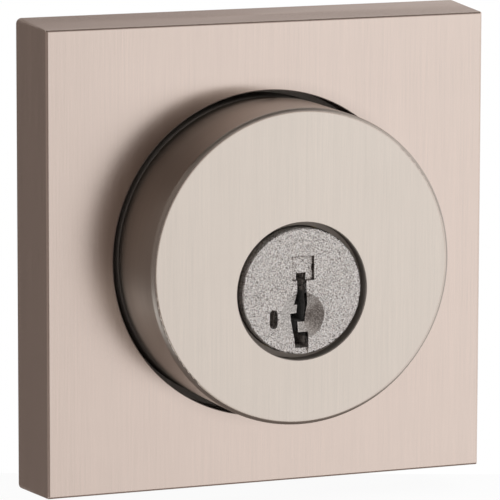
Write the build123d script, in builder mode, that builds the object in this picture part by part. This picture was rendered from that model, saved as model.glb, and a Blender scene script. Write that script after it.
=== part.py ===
"""Single-cylinder deadbolt with square roses: key cylinder outside, bolt in the door, thumbturn inside.

The turn axis is Y. The origin is on that axis, in the plane of the door's outer face.
-Y is the key side, +Y goes into the door, +X points to the door's edge and +Z is up.
All sizes are in millimetres, at rest: bolt drawn back, keyway and thumbturn upright.
"""

import os
from math import cos, radians, sin, sqrt, tan

from build123d import *

os.makedirs("parts", exist_ok=True)

# Door preparation
door_thick = 44.45
backset = 60.3
door_bore_r = 27.0

# Clearances
running = 0.05
slip = 0.1
pressed = 0.01
rest_gap = 0.05
moving_gap = 0.3

# Square roses
rose_side = 66.7
rose_depth = 10.93
rose_draft = 3.3
rose_wall = 2.0
rose_corner = 0.8
rose_edge = 0.35
rose_rib = 1.6
trim_lift = 3.4

# Cylinder guard
guard_r = 22.55
guard_front = 24.0
guard_gap = 0.95
guard_edge = 0.7
guard_wall = 3.0
guard_face = 3.5
guard_rib = 1.8
guard_flange_r = 26.5
guard_flange = 3.4
key_ring_width = 0.82
key_ring_depth = 2.0
key_ring_edge = 0.1
barrel_boss_wall = 4.7
guard_screw_ring_r = 16.4
guard_screw_angles = (45, 135, 210, 330)
guard_screw_r = 1.25
guard_screw_depth = 8.0
guard_screw_head_r = 2.4
guard_screw_head = 1.6
guard_post_r = 3.0

# Support plate and its posts
seat_relief = 0.2
support_thick = 1.6
support_r = 30.8
tab_width = 6.0
tab_thick = 1.2
tab_reach = 4.0
through_pitch = 46.0
through_r = 2.0
through_head_r = 4.0
through_head = 2.4
driver_slot = 1.2
driver_slot_depth = 1.0
post_r = 3.2
post_length = 12.0

# Key cylinder
plug_r = 8.15
plug_head_r = 8.98
plug_head_room = 0.15
plug_set_back = 0.1
plug_edge = 0.15
plug_tail = 2.0
shell_wall = 3.8
shell_tail = 3.0
shell_flange_r = 13.2
shell_flange = 1.5
shield_thick = 1.2
clip_thick = 0.7
clip_bite = 0.9
clip_rim = 1.2

# Keyway, seen on the plug's face
keyway_top = 2.55
keyway_waist = 0.0
keyway_bottom = -8.1
keyway_left = -0.75
keyway_right = 0.68
keyway_depth = 23.7
keyway_swell = 0.3
left_ward_top = -1.95
left_ward_foot = -3.2
left_ward_tip = -0.55
left_wall_foot = -1.6
right_ward_top = -4.45
right_ward_foot = -5.85
right_ward_tip = -0.45
keyway_foot_half = 1.0
keyway_foot_depth = 0.25
recess_width = 3.2
recess_height = 3.4
recess_depth = 0.45
recess_centre = (0.2, 3.25)
lead_in_r = 3.3
lead_in_depth = 0.95
lead_in_centre = (0.1, -3.5)
rekey_slot_length = 2.7
rekey_slot_width = 1.2
rekey_slot_depth = 4.6
rekey_slot_centre = (-4.27, -3.8)

# Tumblers inside the plug
pin_count = 5
pin_pitch = 3.8
pin_lead = 1.9
pin_r = 1.5
pin_neck_r = 1.0
pin_floor = 3.0
pin_head = 2.4
pin_tip_thick = 1.0
pin_tip_width = 2.0
pin_tip_drop = 2.4
pin_lift = 1.8
finger_low = 3.6
finger_high = 4.3
finger_thick = 0.8
rack_outer = 5.0
rack_thick = 1.2
rack_width = 2.0
rack_foot = 2.8
rack_gate = 1.0
rack_gate_depth = 0.5
spring_r = 1.3
spring_wall = 0.4
spring_solid = 0.15
cover_width = 3.4
sidebar_height = 2.0
sidebar_travel = 0.6
sidebar_spring_r = 0.6
sidebar_spring_wall = 0.25
sidebar_spring_seat = 3.0

# Torque blade, cam and lever
blade_width = 6.0
blade_thick = 2.4
blade_stop = 0.2
hub_r = 5.8
trunnion_r = 4.2
bolt_throw = 25.4
lever_radius = bolt_throw / (2 * sin(radians(45)))
lever_end_r = 2.6
lever_thick = 3.0
lever_offset = 2.2
cam_pin_r = 1.6

# Bolt and its frame
bolt_thick = 14.3
bolt_rear = 20.0
bolt_edge = 0.8
bolt_room = 0.3
bolt_slack = 0.9
frame_plate = 1.5
frame_gap = 0.45
frame_half_height = 8.4
frame_rear = 17.0
frame_back_wall = 10.4
guide_x = 26.0
guide_thick = 1.5
tube_r = 12.2
tube_wall = 1.0
face_width = 25.4
face_height = 57.15
face_corner = 6.35
face_thick = 2.4
face_edge = 0.5
backing_thick = 1.6
face_screw_pitch = 41.3
face_screw_r = 2.2
face_sink_r = 3.6
saw_pin_r = 2.4
saw_pin_length = 27.0
saw_pin_cover = 3.3
tail_gap = 1.4
tail_thick = 2.0
strap_low = 6.4
strap_high = 8.8
tongue_low = -4.0
tongue_rear = 9.0
tongue_bite = 9.0
fork_top = 19.4
fork_prong = 2.6
fork_room = 0.85
fork_floor = 10.4
rivet_r = 1.5
rivet_inset = 3.0
rivet_spots_z = (-1.0, 4.0)

# Inside trim
plate_r = 29.5
plate_thick = 1.6
plate_hole_r = 5.0
cover_tab_width = 10.0
cover_tab_height = 8.0
cover_tab_z = -27.0
cover_screw_r = 1.9
cover_screw_height = 6.0
cover_screw_sunk = 0.4
spindle_r = 5.95
spindle_start = 2.6
spindle_grip = 3.4
spindle_boss_r = 10.0
spindle_boss = 1.5
washer_thick = 0.4
washer_r = 8.6
turn_base_r = 9.5
turn_base = 5.0
paddle_thick = 9.0
paddle_width = 36.0
paddle_height = 21.0
paddle_corner = 2.0
paddle_taper = 2.0
paddle_edge = 1.2

# Places worked out from the sizes above
door_mid = door_thick / 2
shell_r = plug_r + running + shell_wall
key_hole_r = plug_head_r + plug_head_room
guard_back = seat_relief + support_thick
guard_floor = guard_front - guard_face
shell_front = guard_floor - shield_thick
plug_face = guard_front - plug_set_back
plug_rear = shell_tail + slip + clip_thick + plug_tail
rose_back = rose_side + 2 * rose_depth * tan(radians(rose_draft))
rose_rib_reach = sqrt(2) * (rose_side - rose_wall) / 2
pin_spots = [(0, pin_lead + pin_pitch * k - shell_front) for k in range(pin_count)]
spring_low = pin_floor + rest_gap + pin_head
cover_low = spring_low + pin_lift + spring_solid
through_spots = [(0, -through_pitch / 2), (0, through_pitch / 2)]
blade_front = plug_rear - plug_tail - clip_thick
blade_end = door_thick + rose_depth + rest_gap
washer_low = rose_depth + rest_gap
turn_low = washer_low + washer_thick + rest_gap
bolt_r = tube_r - tube_wall - bolt_slack
frame_half = bolt_thick / 2 + frame_gap
frame_front_y = door_mid - frame_half - frame_plate
frame_back_y = door_mid + frame_half
lever_y = door_mid - lever_offset
tail_y = lever_y + lever_thick + tail_gap
lever_spot = (-lever_radius * cos(radians(45)), lever_radius * sin(radians(45)))
tube_front = backset - face_thick - backing_thick

# Seats of the two roses, each facing away from the door
outer_seat = Plane((0, 0, trim_lift), x_dir=(1, 0, 0), z_dir=(0, -1, 0))
inner_seat = Plane((0, door_thick, 0), x_dir=(-1, 0, 0), z_dir=(0, 1, 0))


def out(height):
    """Plane on the turn axis, that far out of the door on the key side."""
    return Plane.XZ.offset(height)


def into(depth):
    """Plane on the turn axis, that far into the door."""
    return Plane.XZ.offset(-depth)


def rose_outline(plane, inset=0.0):
    """Square of the rose where it meets the door, drawn in by an inset."""
    with BuildSketch(plane) as outline:
        RectangleRounded(rose_back - 2 * inset, rose_back - 2 * inset, rose_corner)
    return outline.sketch


def ring(plane, outer, inner):
    """Flat ring on a plane."""
    with BuildSketch(plane) as outline:
        Circle(outer)
        Circle(inner, mode=Mode.SUBTRACT)
    return outline.sketch


def bolt_outline(x, room=0.0):
    """Round bar with two flats, the bolt's section, with room to run in."""
    with BuildSketch(Plane.YZ.offset(x)) as outline:
        with Locations((door_mid, 0)):
            Circle(bolt_r + room)
            Rectangle(bolt_thick + 2 * room, 2 * (bolt_r + room), mode=Mode.INTERSECT)
    return outline.sketch


# Exterior rose: drafted square cover with a collar that holds the guard's flange
with BuildPart() as exterior_rose:
    extrude(rose_outline(outer_seat), amount=rose_depth, taper=rose_draft)
    fillet(exterior_rose.faces().sort_by(Axis.Y)[0].edges(), rose_edge)
    extrude(
        rose_outline(outer_seat, rose_wall),
        amount=rose_depth - rose_wall,
        taper=rose_draft,
        mode=Mode.SUBTRACT,
    )
    with BuildSketch(outer_seat.offset(guard_back)):
        Circle(guard_flange_r + rose_wall)
        for angle in (45, 135):
            Rectangle(2 * rose_rib_reach, rose_rib, rotation=angle)
    extrude(amount=rose_depth - rose_wall - guard_back)
    with BuildSketch(outer_seat):
        Circle(guard_flange_r + slip)
    extrude(amount=guard_back + guard_flange, mode=Mode.SUBTRACT)
    with BuildSketch(outer_seat):
        Circle(guard_r + guard_gap)
    extrude(amount=rose_depth, mode=Mode.SUBTRACT)
exterior_rose.part.label = "exterior_rose"
export_step(exterior_rose.part, "parts/exterior_rose.step")

# Cylinder guard: hollow drum with a flange, a boss for the barrel and posts for its screws
guard_seat = outer_seat.offset(guard_back)
with BuildPart() as cylinder_guard:
    with BuildSketch(guard_seat):
        Circle(guard_flange_r)
    extrude(amount=guard_flange)
    with BuildSketch(guard_seat):
        Circle(guard_r)
    extrude(amount=guard_front - guard_back)
    fillet(cylinder_guard.faces().sort_by(Axis.Y)[0].edges(), guard_edge)
    with BuildSketch(guard_seat):
        Circle(guard_r - guard_wall)
        Rectangle(2 * guard_r, guard_rib, mode=Mode.SUBTRACT)
        Rectangle(guard_rib, 2 * guard_r, mode=Mode.SUBTRACT)
        for angle in guard_screw_angles:
            with PolarLocations(guard_screw_ring_r, 1, angle):
                Circle(guard_post_r, mode=Mode.SUBTRACT)
        with Locations((0, -trim_lift)):
            Circle(shell_r + barrel_boss_wall, mode=Mode.SUBTRACT)
    extrude(amount=guard_floor - guard_back, mode=Mode.SUBTRACT)
    with BuildSketch(out(guard_back)):
        Circle(shell_r + slip)
    extrude(amount=guard_floor - guard_back, mode=Mode.SUBTRACT)
    with BuildSketch(out(guard_back)):
        Circle(shell_flange_r + slip)
    extrude(amount=shell_flange, mode=Mode.SUBTRACT)
    with BuildSketch(out(guard_back)):
        Circle(key_hole_r)
    extrude(amount=guard_front, mode=Mode.SUBTRACT)
    with BuildSketch(out(guard_front)):
        Circle(plug_head_r + key_ring_width)
    extrude(amount=-key_ring_depth, mode=Mode.SUBTRACT)
    front_edges = cylinder_guard.faces().sort_by(Axis.Y)[0].edges()
    chamfer(front_edges.sort_by(SortBy.LENGTH)[0], key_ring_edge)
    with BuildSketch(guard_seat):
        for angle in guard_screw_angles:
            with PolarLocations(guard_screw_ring_r, 1, angle):
                Circle(guard_screw_r + pressed)
    extrude(amount=guard_screw_depth, mode=Mode.SUBTRACT)
cylinder_guard.part.label = "cylinder_guard"
export_step(cylinder_guard.part, "parts/cylinder_guard.step")

# Hardened ring against drilling, between the guard's face and the barrel
with BuildPart() as drill_shield:
    extrude(ring(out(shell_front), shell_r, plug_head_r + slip), amount=shield_thick)
drill_shield.part.label = "drill_shield"
export_step(drill_shield.part, "parts/drill_shield.step")

# Fixed barrel with a flange, and a groove for the sidebar at each quarter turn
with BuildPart() as cylinder_shell:
    with BuildSketch(into(shell_tail)):
        Circle(shell_r)
    extrude(amount=shell_tail + shell_front)
    with BuildSketch(out(guard_back)):
        Circle(shell_flange_r)
    extrude(amount=shell_flange)
    with BuildSketch(into(shell_tail)):
        Circle(plug_r + running)
        with PolarLocations(plug_r, 4):
            Rectangle(2 * (sidebar_travel + moving_gap), sidebar_height + 2 * moving_gap)
    extrude(amount=shell_tail + shell_front, mode=Mode.SUBTRACT)
cylinder_shell.part.label = "cylinder_shell"
export_step(cylinder_shell.part, "parts/cylinder_shell.step")

# Steel plate that bears on the door, with tabs that centre it in the door's bore
with BuildPart() as support_plate:
    with BuildSketch(outer_seat.offset(seat_relief)):
        Circle(support_r)
        with Locations((0, -trim_lift)):
            Circle(shell_r + slip, mode=Mode.SUBTRACT)
        for angle in guard_screw_angles:
            with PolarLocations(guard_screw_ring_r, 1, angle):
                Circle(guard_screw_r + slip, mode=Mode.SUBTRACT)
    extrude(amount=support_thick)
    with BuildSketch(out(seat_relief)):
        with PolarLocations(door_bore_r - tab_thick, 4, 45):
            Rectangle(tab_thick, tab_width)
    extrude(amount=-tab_reach)
support_plate.part.label = "support_plate"
export_step(support_plate.part, "parts/support_plate.step")

# Screws that hold the guard to the plate, put in from the door side
with BuildPart() as guard_screws:
    for angle in guard_screw_angles:
        with BuildSketch(outer_seat.offset(seat_relief)):
            with PolarLocations(guard_screw_ring_r, 1, angle):
                Circle(guard_screw_r)
        extrude(amount=support_thick + guard_screw_depth - slip)
        with BuildSketch(outer_seat.offset(seat_relief)):
            with PolarLocations(guard_screw_ring_r, 1, angle):
                Circle(guard_screw_head_r)
        extrude(amount=-guard_screw_head)
        with BuildSketch(outer_seat.offset(seat_relief - guard_screw_head)):
            with PolarLocations(guard_screw_ring_r, 1, angle):
                Rectangle(2 * guard_screw_head_r, driver_slot)
        extrude(amount=driver_slot_depth, mode=Mode.SUBTRACT)
guard_screws.part.label = "guard_screws"
export_step(guard_screws.part, "parts/guard_screws.step")

# Threaded posts that the through screws pull on
with BuildPart() as mounting_posts:
    with BuildSketch(out(seat_relief)):
        with Locations(*through_spots):
            Circle(post_r)
            Circle(through_r + pressed, mode=Mode.SUBTRACT)
    extrude(amount=-(seat_relief + post_length))
mounting_posts.part.label = "mounting_posts"
export_step(mounting_posts.part, "parts/mounting_posts.step")

# Key plug: round head with the keyway, and a body cut for the tumblers and the sidebar
keyway = [
    (keyway_left, keyway_top),
    (keyway_left, keyway_waist),
    (keyway_left - keyway_swell, left_ward_top),
    (left_ward_tip, left_ward_top),
    (left_ward_tip, left_ward_foot),
    (left_wall_foot, left_ward_foot),
    (-keyway_foot_half, keyway_bottom),
    (keyway_foot_half, keyway_bottom),
    (keyway_foot_half, right_ward_foot),
    (right_ward_tip, right_ward_foot),
    (right_ward_tip, right_ward_top),
    (keyway_right, right_ward_top),
    (keyway_right + keyway_swell, left_ward_top),
    (keyway_right, keyway_waist),
    (keyway_right, keyway_top),
]
rack_x = rack_thick / 2 - rack_outer
finger_x = (rack_thick - rack_outer - pin_neck_r) / 2
finger_length = rack_outer - rack_thick - pin_neck_r - rest_gap
pin_row_middle = (pin_spots[0][1] + pin_spots[-1][1]) / 2
pin_row_length = pin_pitch * pin_count
sidebar_spring_spots = [pin_spots[0][1] + pin_pitch / 2, pin_spots[-1][1] - pin_pitch / 2]
sidebar_inner = rack_outer + moving_gap
sidebar_outer = plug_r - rest_gap
blade_sweep_r = sqrt(blade_width**2 + blade_thick**2) / 2 + slip
with BuildPart() as plug:
    with BuildSketch(into(plug_rear)):
        Circle(plug_r)
    extrude(amount=plug_rear + plug_face)
    with BuildSketch(out(shell_front + slip)):
        Circle(plug_head_r)
    extrude(amount=plug_face - shell_front - slip)
    chamfer(plug.faces().sort_by(Axis.Y)[0].edges(), plug_edge)
    with BuildSketch(out(plug_face)):
        with Locations(recess_centre):
            Rectangle(recess_width, recess_height)
    extrude(amount=-recess_depth, mode=Mode.SUBTRACT)
    with BuildSketch(out(plug_face)):
        with Locations((0, keyway_bottom)):
            Rectangle(2 * keyway_foot_half, plug_r, align=(Align.CENTER, Align.MAX))
    extrude(amount=-keyway_foot_depth, mode=Mode.SUBTRACT)
    with Locations(out(plug_face)):
        with Locations(lead_in_centre):
            Cone(
                0,
                lead_in_r,
                lead_in_depth,
                align=(Align.CENTER, Align.CENTER, Align.MAX),
                mode=Mode.SUBTRACT,
            )
    with BuildSketch(out(plug_face)):
        with Locations(rekey_slot_centre):
            SlotOverall(rekey_slot_length, rekey_slot_width, rotation=90)
    extrude(amount=-rekey_slot_depth, mode=Mode.SUBTRACT)
    with BuildSketch(out(plug_face)):
        with BuildLine():
            Polyline(*keyway, close=True)
        make_face()
    extrude(amount=-keyway_depth, mode=Mode.SUBTRACT)
    with BuildSketch(Plane.XY.offset(keyway_top - pin_tip_drop)):
        with Locations(*pin_spots):
            Rectangle(pin_tip_thick + 2 * slip, pin_tip_width + 2 * slip)
    extrude(amount=plug_r, mode=Mode.SUBTRACT)
    with BuildSketch(Plane.XY.offset(pin_floor)):
        with Locations(*pin_spots):
            Circle(pin_r + slip)
    extrude(amount=plug_r, mode=Mode.SUBTRACT)
    with BuildSketch(Plane.XY.offset(finger_low - slip)):
        for spot in pin_spots:
            with Locations((finger_x, spot[1])):
                Rectangle(finger_length + 2 * slip, finger_thick + 2 * slip)
    extrude(amount=plug_r, mode=Mode.SUBTRACT)
    with BuildSketch(Plane.XY.offset(-rack_foot - slip)):
        for spot in pin_spots:
            with Locations((rack_x, spot[1])):
                Rectangle(rack_thick + 2 * slip, rack_width + 2 * slip)
    extrude(amount=2 * plug_r, mode=Mode.SUBTRACT)
    with BuildSketch(Plane.XY.offset(cover_low)):
        with Locations((0, pin_row_middle)):
            Rectangle(cover_width + 2 * slip, pin_row_length + 2 * slip)
    extrude(amount=plug_r, mode=Mode.SUBTRACT)
    with BuildSketch(Plane.YZ.offset(-rack_outer)):
        with Locations((pin_row_middle, 0)):
            Rectangle(pin_row_length + 2 * slip, sidebar_height + 2 * slip)
    extrude(amount=-plug_r, mode=Mode.SUBTRACT)
    with BuildSketch(Plane.YZ.offset(-sidebar_spring_seat)):
        for spot in sidebar_spring_spots:
            with Locations((spot, 0)):
                Circle(sidebar_spring_r + slip)
    extrude(amount=-plug_r, mode=Mode.SUBTRACT)
    extrude(
        ring(into(plug_rear - plug_tail), plug_r, plug_r - clip_bite),
        amount=clip_thick + slip,
        mode=Mode.SUBTRACT,
    )
    with BuildSketch(into(plug_rear)):
        Circle(blade_sweep_r)
        for side in (-1, 1):
            with Locations((side * (blade_thick / 2 + slip), -side * (blade_thick / 2 + slip))):
                Rectangle(
                    blade_width,
                    blade_width,
                    align=(Align.MIN if side > 0 else Align.MAX, Align.MAX if side > 0 else Align.MIN),
                    mode=Mode.SUBTRACT,
                )
    extrude(amount=plug_rear - blade_front + blade_stop, mode=Mode.SUBTRACT)
plug.part.label = "plug"
export_step(plug.part, "parts/plug.step")

# Ring that keeps the plug in the barrel
with BuildPart() as plug_clip:
    clip_plane = into(plug_rear - plug_tail)
    extrude(ring(clip_plane, plug_r + clip_rim, plug_r - clip_bite + pressed), amount=clip_thick)
plug_clip.part.label = "plug_clip"
export_step(plug_clip.part, "parts/plug_clip.step")

# Strip that closes the spring chambers, rounded with the plug
with BuildPart() as spring_cover:
    with BuildSketch(into(pin_row_middle - pin_row_length / 2)):
        Circle(plug_r - rest_gap)
        with Locations((0, cover_low)):
            Rectangle(cover_width, plug_r, align=(Align.CENTER, Align.MIN), mode=Mode.INTERSECT)
    extrude(amount=-pin_row_length)
spring_cover.part.label = "spring_cover"
export_step(spring_cover.part, "parts/spring_cover.step")

# Bar that locks the plug to the barrel, drawn in
with BuildPart() as sidebar:
    with BuildSketch(into(pin_row_middle - pin_row_length / 2)):
        Circle(sidebar_outer)
        with Locations((-sidebar_inner, 0)):
            Rectangle(plug_r, sidebar_height, align=(Align.MAX, Align.CENTER), mode=Mode.INTERSECT)
    extrude(amount=-pin_row_length)
sidebar.part.label = "sidebar"
export_step(sidebar.part, "parts/sidebar.step")

# Springs that push the sidebar out
with BuildPart() as sidebar_springs:
    with BuildSketch(Plane.YZ.offset(-sidebar_spring_seat)):
        for spot in sidebar_spring_spots:
            with Locations((spot, 0)):
                Circle(sidebar_spring_r)
                Circle(sidebar_spring_r - sidebar_spring_wall, mode=Mode.SUBTRACT)
    extrude(amount=sidebar_spring_seat - sidebar_inner)
sidebar_springs.part.label = "sidebar_springs"
export_step(sidebar_springs.part, "parts/sidebar_springs.step")

# Tumblers: a key pin with a neck, the rack whose finger rides in it, and the spring above
for number, spot in enumerate(pin_spots, start=1):
    with BuildPart() as key_pin:
        with BuildSketch(Plane.XY.offset(pin_floor + rest_gap)):
            with Locations(spot):
                Circle(pin_r)
        extrude(amount=pin_head)
        with BuildSketch(Plane.XY.offset(finger_low - slip)):
            with Locations(spot):
                Circle(pin_r)
                Circle(pin_neck_r, mode=Mode.SUBTRACT)
        extrude(amount=finger_high - finger_low + 2 * slip, mode=Mode.SUBTRACT)
        with BuildSketch(Plane.XY.offset(pin_floor + rest_gap)):
            with Locations(spot):
                Rectangle(pin_tip_thick, pin_tip_width)
        extrude(amount=-pin_tip_drop)
        chamfer(key_pin.faces().sort_by(Axis.Z)[0].edges().filter_by(Axis.X), pin_tip_thick / 2)
    key_pin.part.label = f"key_pin_{number}"
    export_step(key_pin.part, f"parts/key_pin_{number}.step")

    with BuildPart() as tumbler_rack:
        with BuildSketch(Plane.XY.offset(-rack_foot)):
            with Locations((rack_x, spot[1])):
                Rectangle(rack_thick, rack_width)
        extrude(amount=rack_foot + finger_high)
        with BuildSketch(Plane.XY.offset(finger_low)):
            with Locations((rack_thick - rack_outer, spot[1])):
                Rectangle(finger_length, finger_thick, align=(Align.MIN, Align.CENTER))
        extrude(amount=finger_high - finger_low)
        with BuildSketch(Plane.YZ.offset(-rack_outer)):
            with Locations((spot[1], 0)):
                Rectangle(rack_width, rack_gate)
        extrude(amount=rack_gate_depth, mode=Mode.SUBTRACT)
    tumbler_rack.part.label = f"tumbler_rack_{number}"
    export_step(tumbler_rack.part, f"parts/tumbler_rack_{number}.step")

    with BuildPart() as tumbler_spring:
        with BuildSketch(Plane.XY.offset(spring_low)):
            with Locations(spot):
                Circle(spring_r)
                Circle(spring_r - spring_wall, mode=Mode.SUBTRACT)
        extrude(amount=cover_low - spring_low)
    tumbler_spring.part.label = f"tumbler_spring_{number}"
    export_step(tumbler_spring.part, f"parts/tumbler_spring_{number}.step")

# Flat bar that carries the turn from the plug through the cam to the thumbturn
with BuildPart() as torque_blade:
    with BuildSketch(into(blade_front)):
        Rectangle(blade_thick, blade_width)
    extrude(amount=-(blade_end - blade_front))
torque_blade.part.label = "torque_blade"
export_step(torque_blade.part, "parts/torque_blade.step")

# Cam: hub on two trunnions with a lever
with BuildPart() as bolt_cam:
    with BuildSketch(into(frame_front_y)):
        Circle(trunnion_r)
    extrude(amount=-(2 * frame_half + 2 * frame_plate))
    with BuildSketch(into(frame_front_y + frame_plate + moving_gap)):
        Circle(hub_r)
    extrude(amount=-2 * (frame_half - moving_gap))
    with BuildSketch(into(lever_y)):
        Circle(hub_r)
        with Locations(lever_spot):
            Circle(lever_end_r)
        make_hull()
    extrude(amount=-lever_thick)
    with BuildSketch(into(lever_y)):
        with Locations(lever_spot):
            Circle(cam_pin_r + pressed)
    extrude(amount=-lever_thick, mode=Mode.SUBTRACT)
    with BuildSketch(into(frame_front_y)):
        Rectangle(blade_thick + 2 * slip, blade_width + 2 * slip)
    extrude(amount=-(2 * frame_half + 2 * frame_plate), mode=Mode.SUBTRACT)
bolt_cam.part.label = "bolt_cam"
export_step(bolt_cam.part, "parts/bolt_cam.step")

# Pin on the lever that drives the tail's fork
with BuildPart() as cam_pin:
    with BuildSketch(into(lever_y)):
        with Locations(lever_spot):
            Circle(cam_pin_r)
    extrude(amount=-(lever_thick + tail_gap + tail_thick + moving_gap))
cam_pin.part.label = "cam_pin"
export_step(cam_pin.part, "parts/cam_pin.step")

# Bolt frame: channel with bearings for the cam and a guide for the bolt
with BuildPart() as bolt_frame:
    for plate_y in (frame_front_y, frame_back_y):
        with BuildSketch(into(plate_y)):
            with Locations((-frame_rear, 0)):
                Rectangle(
                    frame_rear + guide_x,
                    2 * frame_half_height,
                    align=(Align.MIN, Align.CENTER),
                )
            Circle(trunnion_r + running, mode=Mode.SUBTRACT)
        extrude(amount=-frame_plate)
    with BuildSketch(Plane.XY.offset(-frame_half_height)):
        with Locations((-frame_rear, door_mid)):
            Rectangle(
                frame_rear + bolt_rear - moving_gap,
                2 * frame_half,
                align=(Align.MIN, Align.CENTER),
            )
    extrude(amount=frame_plate)
    with BuildSketch(Plane.YZ.offset(-frame_rear)):
        with Locations((door_mid, -frame_half_height)):
            Rectangle(2 * frame_half, frame_back_wall, align=(Align.CENTER, Align.MIN))
    extrude(amount=frame_plate)
    with BuildSketch(Plane.YZ.offset(guide_x)):
        with Locations((door_mid, 0)):
            Circle(tube_r)
    extrude(amount=guide_thick)
    extrude(bolt_outline(guide_x, bolt_room), amount=guide_thick, mode=Mode.SUBTRACT)
bolt_frame.part.label = "bolt_frame"
export_step(bolt_frame.part, "parts/bolt_frame.step")

# Tube round the bolt, in the door's edge bore
with BuildPart() as bolt_tube:
    with BuildSketch(Plane.YZ.offset(guide_x + guide_thick)):
        with Locations((door_mid, 0)):
            Circle(tube_r)
            Circle(tube_r - tube_wall, mode=Mode.SUBTRACT)
    extrude(amount=tube_front - guide_x - guide_thick)
bolt_tube.part.label = "bolt_tube"
export_step(bolt_tube.part, "parts/bolt_tube.step")

# Backing plate and faceplate in the door's edge
face_screw_spots = [
    (door_mid, -face_screw_pitch / 2),
    (door_mid, face_screw_pitch / 2),
]
with BuildPart() as faceplate_backing:
    with BuildSketch(Plane.YZ.offset(tube_front)):
        with Locations((door_mid, 0)):
            RectangleRounded(face_width, face_height, face_corner)
        with Locations(*face_screw_spots):
            Circle(face_screw_r, mode=Mode.SUBTRACT)
    extrude(amount=backing_thick)
    extrude(bolt_outline(tube_front, bolt_room), amount=backing_thick, mode=Mode.SUBTRACT)
faceplate_backing.part.label = "faceplate_backing"
export_step(faceplate_backing.part, "parts/faceplate_backing.step")

with BuildPart() as faceplate:
    with BuildSketch(Plane.YZ.offset(backset - face_thick)):
        with Locations((door_mid, 0)):
            RectangleRounded(face_width, face_height, face_corner)
    extrude(amount=face_thick)
    fillet(faceplate.faces().sort_by(Axis.X)[-1].edges(), face_edge)
    extrude(bolt_outline(backset - face_thick, bolt_room), amount=face_thick, mode=Mode.SUBTRACT)
    with Locations(Plane.YZ.offset(backset)):
        with Locations(*face_screw_spots):
            CounterSinkHole(face_screw_r, face_sink_r, depth=face_thick)
faceplate.part.label = "faceplate"
export_step(faceplate.part, "parts/faceplate.step")

# Bolt: bar with two flats, slotted for its tail and bored for the saw guard pin
saw_pin_front = backset - saw_pin_cover
rivet_spots = [
    (bolt_rear + rivet_inset * step, z) for step, z in enumerate(rivet_spots_z, start=1)
]
with BuildPart() as bolt:
    extrude(bolt_outline(bolt_rear), amount=backset - bolt_rear)
    chamfer(bolt.faces().sort_by(Axis.X)[-1].edges(), bolt_edge)
    with BuildSketch(into(tail_y - slip)):
        with Locations((bolt_rear, tongue_low - slip)):
            Rectangle(
                tongue_bite + slip,
                strap_high - tongue_low + 2 * slip,
                align=(Align.MIN, Align.MIN),
            )
    extrude(amount=-(tail_thick + 2 * slip), mode=Mode.SUBTRACT)
    with BuildSketch(Plane.YZ.offset(bolt_rear)):
        with Locations((door_mid, 0)):
            Circle(saw_pin_r + running)
    extrude(amount=saw_pin_front - bolt_rear, mode=Mode.SUBTRACT)
    with BuildSketch(into(door_mid - bolt_thick / 2)):
        with Locations(*rivet_spots):
            Circle(rivet_r + pressed)
    extrude(amount=-bolt_thick, mode=Mode.SUBTRACT)
bolt.part.label = "bolt"
export_step(bolt.part, "parts/bolt.step")

# Hardened pin that turns under a saw blade
with BuildPart() as saw_guard_pin:
    with BuildSketch(Plane.YZ.offset(saw_pin_front)):
        with Locations((door_mid, 0)):
            Circle(saw_pin_r)
    extrude(amount=-saw_pin_length)
saw_guard_pin.part.label = "saw_guard_pin"
export_step(saw_guard_pin.part, "parts/saw_guard_pin.step")

# Tail: tongue in the bolt, strap over the cam's hub, and a fork round the cam's pin
fork_half = cam_pin_r + fork_room
with BuildPart() as bolt_tail:
    with BuildSketch(into(tail_y)):
        with Locations((tongue_rear, tongue_low)):
            Rectangle(
                bolt_rear + tongue_bite - tongue_rear,
                strap_high - tongue_low,
                align=(Align.MIN, Align.MIN),
            )
        with Locations((lever_spot[0], strap_low)):
            Rectangle(
                tongue_rear - lever_spot[0],
                strap_high - strap_low,
                align=(Align.MIN, Align.MIN),
            )
            Rectangle(
                2 * (fork_half + fork_prong),
                fork_top - strap_low,
                align=(Align.CENTER, Align.MIN),
            )
        with Locations((lever_spot[0], fork_floor)):
            Rectangle(
                2 * fork_half,
                fork_top - fork_floor,
                align=(Align.CENTER, Align.MIN),
                mode=Mode.SUBTRACT,
            )
        with Locations(*rivet_spots):
            Circle(rivet_r + pressed, mode=Mode.SUBTRACT)
    extrude(amount=-tail_thick)
bolt_tail.part.label = "bolt_tail"
export_step(bolt_tail.part, "parts/bolt_tail.step")

# Rivets through bolt and tail
with BuildPart() as tail_rivets:
    with BuildSketch(into(door_mid - bolt_thick / 2)):
        with Locations(*rivet_spots):
            Circle(rivet_r)
    extrude(amount=-bolt_thick)
tail_rivets.part.label = "tail_rivets"
export_step(tail_rivets.part, "parts/tail_rivets.step")

# Inside mounting plate with a bent tab for the cover's set screw
with BuildPart() as mounting_plate:
    with BuildSketch(inner_seat):
        Circle(plate_r)
        Circle(plate_hole_r, mode=Mode.SUBTRACT)
        with Locations(*through_spots):
            Circle(through_r + moving_gap, mode=Mode.SUBTRACT)
    extrude(amount=plate_thick)
    with BuildSketch(Plane.XY.offset(cover_tab_z - plate_thick)):
        with Locations((0, door_thick)):
            Rectangle(cover_tab_width, cover_tab_height, align=(Align.CENTER, Align.MIN))
        with Locations((0, door_thick + cover_screw_height)):
            Circle(cover_screw_r + pressed, mode=Mode.SUBTRACT)
    extrude(amount=plate_thick)
mounting_plate.part.label = "mounting_plate"
export_step(mounting_plate.part, "parts/mounting_plate.step")

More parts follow.
